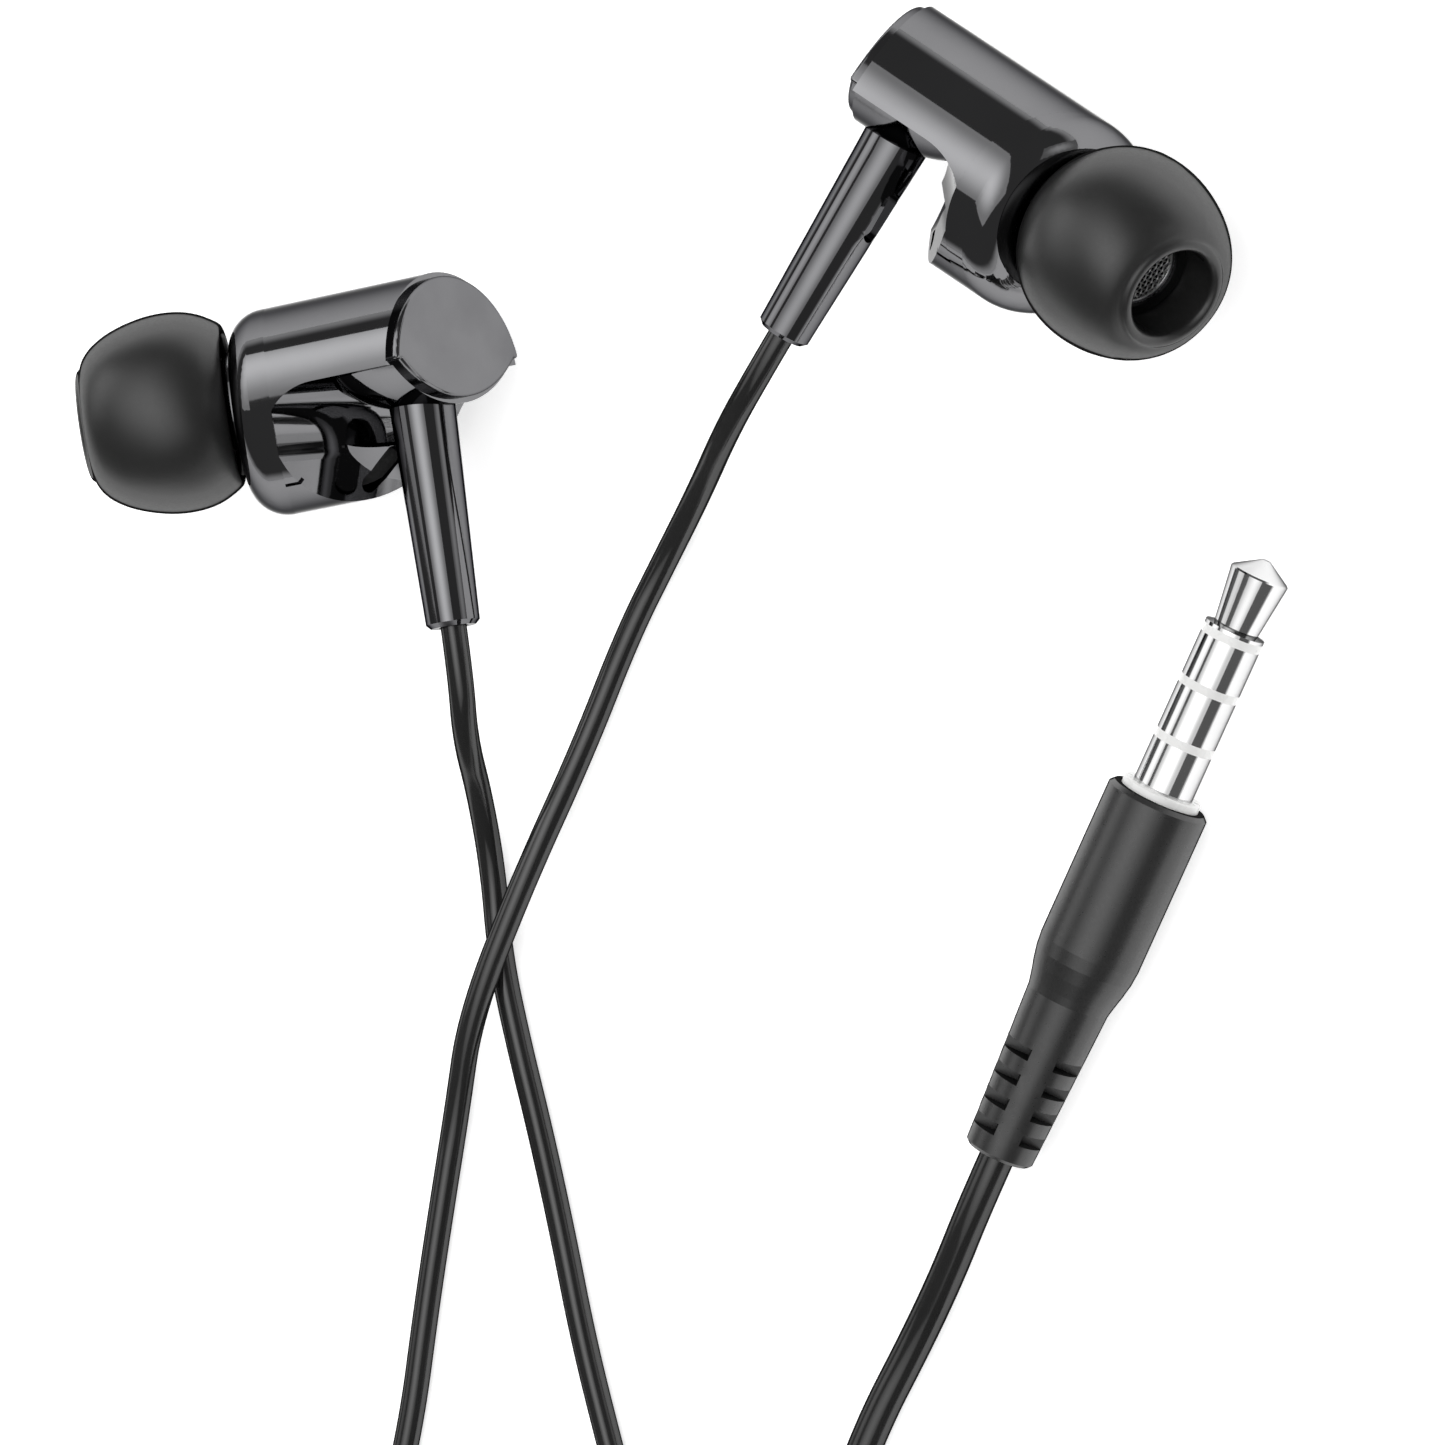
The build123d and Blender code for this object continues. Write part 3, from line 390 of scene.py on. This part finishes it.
ear_tips = []
weaves = []
for bud, placing in BUDS.items():
    matrix = nozzle_matrix(*placing)
    tip = mesh_piece(
        f"{bud}_soft_tip", tip_form(), matrix, f"{bud}_tip_body", f"{bud}_ear_tip"
    )
    ear_tips.append(tip)
    weave = mesh_piece(
        f"{bud}_wire_cloth", weave_form(), matrix, "earphones", f"{bud}_nozzle_mesh"
    )
    weaves.append(weave)


# ---------------------------------------------------------------- materials


def new_material(name):
    material = bpy.data.materials.new(name)
    material.use_nodes = True
    tree = material.node_tree
    return material, tree, tree.nodes["Principled BSDF"]


def link(tree, source, socket, target, target_socket):
    tree.links.new(source.outputs[socket], target.inputs[target_socket])


def noise(tree, scale, detail):
    """Noise in the object's own place."""
    where = tree.nodes.new("ShaderNodeTexCoord")
    texture = tree.nodes.new("ShaderNodeTexNoise")
    texture.inputs["Scale"].default_value = scale
    texture.inputs["Detail"].default_value = detail
    link(tree, where, "Object", texture, "Vector")
    return texture


# Noise keeps mostly between these two values.
NOISE_LOW = 0.3
NOISE_HIGH = 0.7
CLOUD_SCALE = 160.0
FACING_GLOSS = 0.6  # specular level of a surface seen straight on


def ramp(tree, source, low, high):
    """A noise turned to a blend of two colours."""
    node = tree.nodes.new("ShaderNodeValToRGB")
    node.color_ramp.elements[0].position = NOISE_LOW
    node.color_ramp.elements[1].position = NOISE_HIGH
    node.color_ramp.elements[0].color = (*low, 1)
    node.color_ramp.elements[1].color = (*high, 1)
    link(tree, source, "Fac", node, "Fac")
    return node


def span(tree, source, socket, low, high, start, end):
    """A value from start to end turned to one from low to high."""
    node = tree.nodes.new("ShaderNodeMapRange")
    node.inputs["From Min"].default_value = start
    node.inputs["From Max"].default_value = end
    node.inputs["To Min"].default_value = low
    node.inputs["To Max"].default_value = high
    link(tree, source, socket, node, "Value")
    return node


def bump(tree, source, distance):
    """Fine relief, so many metres high, from a noise."""
    node = tree.nodes.new("ShaderNodeBump")
    node.inputs["Distance"].default_value = distance
    link(tree, source, "Fac", node, "Height")
    return node


def shade(
    name, low, high, rough, metal=0.0, grain=900.0, grain_height=0.000004, outline=None, unit=1.0, **settings
):
    """A surface whose colour, roughness and fine grain vary a little.

    The gloss fades where Layer Weight's facing is between the two values of outline.
    The unit is that of the object's own lengths, in metres.
    """
    material, tree, shader = new_material(name)
    cloud = noise(tree, CLOUD_SCALE * unit, 4.0)
    link(tree, ramp(tree, cloud, low, high), "Color", shader, "Base Color")
    fine = noise(tree, grain * unit, 3.0)
    roughness = span(tree, fine, "Fac", *rough, NOISE_LOW, NOISE_HIGH)
    link(tree, roughness, "Result", shader, "Roughness")
    link(tree, bump(tree, fine, grain_height), "Normal", shader, "Normal")
    shader.inputs["Metallic"].default_value = metal
    if outline:
        facing = tree.nodes.new("ShaderNodeLayerWeight")
        gloss = span(tree, facing, "Facing", FACING_GLOSS, 0.0, *outline)
        link(tree, gloss, "Result", shader, "Specular IOR Level")
    for socket, value in settings.items():
        shader.inputs[socket.replace("_", " ")].default_value = value
    return material


# Polished shells: dark metal whose reflections darken a little before the outline.
GUNMETAL = shade(
    "gunmetal_gloss",
    (0.155, 0.155, 0.16),
    (0.175, 0.175, 0.18),
    (0.04, 0.055),
    metal=1.0,
    grain=2500.0,
    grain_height=0.0000001,
    Specular_Tint=(0.25, 0.25, 0.25, 1),
)
CAP_METAL = shade(
    "cap_gloss",
    (0.13, 0.13, 0.135),
    (0.17, 0.17, 0.175),
    (0.09, 0.12),
    metal=1.0,
    grain=2500.0,
    grain_height=0.0000002,
    Specular_Tint=(0.25, 0.25, 0.25, 1),
)
STEM_METAL = shade(
    "stem_gloss",
    (0.13, 0.13, 0.135),
    (0.15, 0.15, 0.155),
    (0.05, 0.07),
    metal=1.0,
    grain=2500.0,
    grain_height=0.0000001,
    Specular_Tint=(0.15, 0.15, 0.15, 1),
)
SILICONE = shade(
    "black_silicone",
    (0.009, 0.009, 0.009),
    (0.013, 0.013, 0.013),
    (0.34, 0.4),
    grain=6000.0,
    grain_height=0.000002,
    outline=(0.45, 0.8),
)
STEEL = shade("mesh_steel", (0.5, 0.5, 0.5), (0.65, 0.65, 0.65), (0.25, 0.35), metal=1.0, grain=3000.0)
JACKET = shade(
    "cord_jacket_black",
    (0.01, 0.01, 0.01),
    (0.014, 0.014, 0.014),
    (0.14, 0.18),
    grain=2500.0,
    grain_height=0.0000005,
    outline=(0.3, 0.6),
    unit=MM,
)
HANDLE = shade(
    "plug_rubber_black",
    (0.016, 0.016, 0.016),
    (0.02, 0.02, 0.02),
    (0.27, 0.33),
    grain=5000.0,
    grain_height=0.000002,
    outline=(0.5, 0.8),
)
CHROME = shade(
    "plug_chrome_bright",
    (0.62, 0.62, 0.62),
    (0.67, 0.67, 0.67),
    (0.06, 0.1),
    metal=1.0,
    grain=1800.0,
    grain_height=0.0000002,
    Specular_Tint=(0.1, 0.1, 0.1, 1),
)
WHITE = shade(
    "white_insulator", (0.8, 0.8, 0.79), (0.88, 0.88, 0.87), (0.25, 0.32), grain=1500.0, grain_height=0.000001
)
CLOTH = shade(
    "dark_cloth_weave", (0.01, 0.01, 0.01), (0.04, 0.04, 0.04), (0.7, 0.9), grain=4000.0, grain_height=0.00003
)
PLASTIC = shade("inner_plastic", (0.05, 0.05, 0.05), (0.07, 0.07, 0.07), (0.5, 0.6), grain=3000.0)
ZINC = shade("plated_steel_satin", (0.5, 0.5, 0.5), (0.6, 0.6, 0.6), (0.3, 0.4), metal=1.0, grain=2500.0)
MAGNET = shade("magnet_nickel", (0.55, 0.55, 0.57), (0.6, 0.6, 0.62), (0.15, 0.2), metal=1.0, grain=2500.0)
COPPER = shade("copper_wire_red", (0.7, 0.32, 0.16), (0.8, 0.4, 0.2), (0.25, 0.35), metal=1.0, grain=6000.0)
FILM = shade("diaphragm_film", (0.6, 0.55, 0.45), (0.7, 0.65, 0.55), (0.2, 0.3), grain=3000.0)
BOARD = shade("board_green", (0.01, 0.09, 0.035), (0.015, 0.12, 0.05), (0.35, 0.45), grain=3000.0)
SHELL = shade(
    "shell_satin_black",
    (0.012, 0.012, 0.012),
    (0.018, 0.018, 0.018),
    (0.3, 0.36),
    grain=5000.0,
    grain_height=0.000003,
)
BUTTON = shade("button_grey", (0.04, 0.04, 0.042), (0.055, 0.055, 0.058), (0.3, 0.36), grain=5000.0)
STRAP = shade(
    "strap_black", (0.008, 0.008, 0.008), (0.02, 0.02, 0.02), (0.6, 0.75), grain=4000.0, grain_height=0.00002
)

BY_SLOT = {
    "gloss_shell": GUNMETAL,
    "gloss_cap": CAP_METAL,
    "gloss_stem": STEM_METAL,
    "silicone": SILICONE,
    "steel_mesh": STEEL,
    "dark_cloth": CLOTH,
    "driver_plastic": PLASTIC,
    "plated_steel": ZINC,
    "magnet": MAGNET,
    "copper_wire": COPPER,
    "film": FILM,
    "tie_strap": STRAP,
    "cord_jacket": JACKET,
    "plug_rubber": HANDLE,
    "white_plastic": WHITE,
    "plug_chrome": CHROME,
    "circuit_board": BOARD,
    "button_plastic": BUTTON,
    "matte_shell": SHELL,
}


def paint(piece, material):
    piece.data.materials.clear()
    piece.data.materials.append(material)


for part in frame["record"]["subparts"]:
    piece = nodes[part["node"]]
    for slot in piece.material_slots:
        slot.material = BY_SLOT[part["material_slot"]]
    if not piece.material_slots:
        paint(piece, BY_SLOT[part["material_slot"]])
for cord in (left_lead, right_lead_upper, right_lead_lower, main_cord):
    paint(cord, JACKET)
for tip in ear_tips:
    paint(tip, SILICONE)
for weave in weaves:
    paint(weave, STEEL)


# ---------------------------------------------------------------- floor and lights

FLOOR_HALF = 3.0
FLOOR_Z = -0.00002  # just clear of the pieces that rest at 0
FLOOR_GLOW = 0.62  # a light table, so that the ground stays white beside the pieces
HORIZON = 1.1
SKY = 0.13
SKY_START = 0.16  # how high the horizon's glow reaches, as the z of a direction


def flat_square(name, segments, half):
    """A level square sheet."""
    mesh = bpy.data.meshes.new(name)
    form = bmesh.new()
    bmesh.ops.create_grid(form, x_segments=segments, y_segments=segments, size=half)
    form.to_mesh(mesh)
    form.free()
    sheet = bpy.data.objects.new(name, mesh)
    bpy.context.scene.collection.objects.link(sheet)
    return sheet


floor = flat_square("floor", 2, FLOOR_HALF)
floor.location.z = FLOOR_Z
floor_material, floor_tree, floor_shader = new_material("floor_white")
floor_cloud = noise(floor_tree, 3.0, 2.0)
floor_colour = ramp(floor_tree, floor_cloud, (0.93, 0.93, 0.93), (0.95, 0.95, 0.95))
link(floor_tree, floor_colour, "Color", floor_shader, "Base Color")
floor_shader.inputs["Roughness"].default_value = 0.9
floor_shader.inputs["Specular IOR Level"].default_value = 0.1
floor_shader.inputs["Emission Color"].default_value = (1, 1, 1, 1)
floor_shader.inputs["Emission Strength"].default_value = FLOOR_GLOW
paint(floor, floor_material)

world = bpy.data.worlds.new("world")
bpy.context.scene.world = world
world.use_nodes = True
sky = world.node_tree
sky_where = sky.nodes.new("ShaderNodeTexCoord")
sky_split = sky.nodes.new("ShaderNodeSeparateXYZ")
link(sky, sky_where, "Generated", sky_split, "Vector")
sky_band = span(sky, sky_split, "Z", HORIZON, SKY, 0.0, SKY_START)
sky_band.interpolation_type = "SMOOTHSTEP"
link(sky, sky_band, "Result", sky.nodes["Background"], "Strength")
sky.nodes["Background"].inputs["Color"].default_value = (1, 1, 1, 1)


def softbox(name, direction, distance, width, height, peak, edge, roll=0.0, bright_end=0.0):
    """A glowing panel that faces the earphones, brightest at its middle or towards one end."""
    panel = flat_square(name, 1, 0.5)
    towards_box = Vector(direction).normalized()
    turn = towards_box.to_track_quat("Z", "Y").to_matrix().to_4x4()
    scale = Matrix.Diagonal((width, height, 1, 1))
    place = Matrix.Translation(TARGET + towards_box * distance)
    panel.matrix_world = place @ turn @ Matrix.Rotation(radians(roll), 4, "Z") @ scale
    material = bpy.data.materials.new(name + "_glow")
    material.use_nodes = True
    tree = material.node_tree
    tree.nodes.clear()
    glow = tree.nodes.new("ShaderNodeEmission")
    where = tree.nodes.new("ShaderNodeTexCoord")
    shift = tree.nodes.new("ShaderNodeMapping")
    shift.inputs["Location"].default_value = (-bright_end, 0, 0)
    size = tree.nodes.new("ShaderNodeVectorMath")
    size.operation = "LENGTH"
    link(tree, where, "Object", shift, "Vector")
    link(tree, shift, "Vector", size, "Vector")
    fall = span(tree, size, "Value", peak, edge, 0.0, 0.5 + abs(bright_end))
    fall.interpolation_type = "SMOOTHSTEP"
    link(tree, fall, "Result", glow, "Strength")
    end = tree.nodes.new("ShaderNodeOutputMaterial")
    link(tree, glow, "Emission", end, "Surface")
    panel.data.materials.append(material)
    panel.visible_camera = False
    panel.visible_shadow = False


def way(azimuth, elevation):
    """The direction at an azimuth and an elevation in degrees."""
    a, e = radians(azimuth), radians(elevation)
    return cos(e) * cos(a), cos(e) * sin(a), sin(e)


softbox("overhead_box", (-0.02, 0.08, 1.0), 1.0, 1.0, 2.25, 2.8, 0.9, roll=14.0)
softbox("left_box", way(157, 33), 1.0, 0.85, 0.5, 2.6, 0.9, roll=12.0, bright_end=-0.3)
softbox("right_box", way(15, 14), 1.0, 0.4, 0.5, 1.1, 0.4)

fill = bpy.data.lights.new("fill", "AREA")
fill.size = 3.0
fill.energy = 22.0
fill_lamp = bpy.data.objects.new("fill", fill)
fill_lamp.location = TARGET + Vector((0, 0, 1.5))
fill_lamp.visible_glossy = False
bpy.context.scene.collection.objects.link(fill_lamp)

bpy.context.scene.view_settings.view_transform = "Standard"
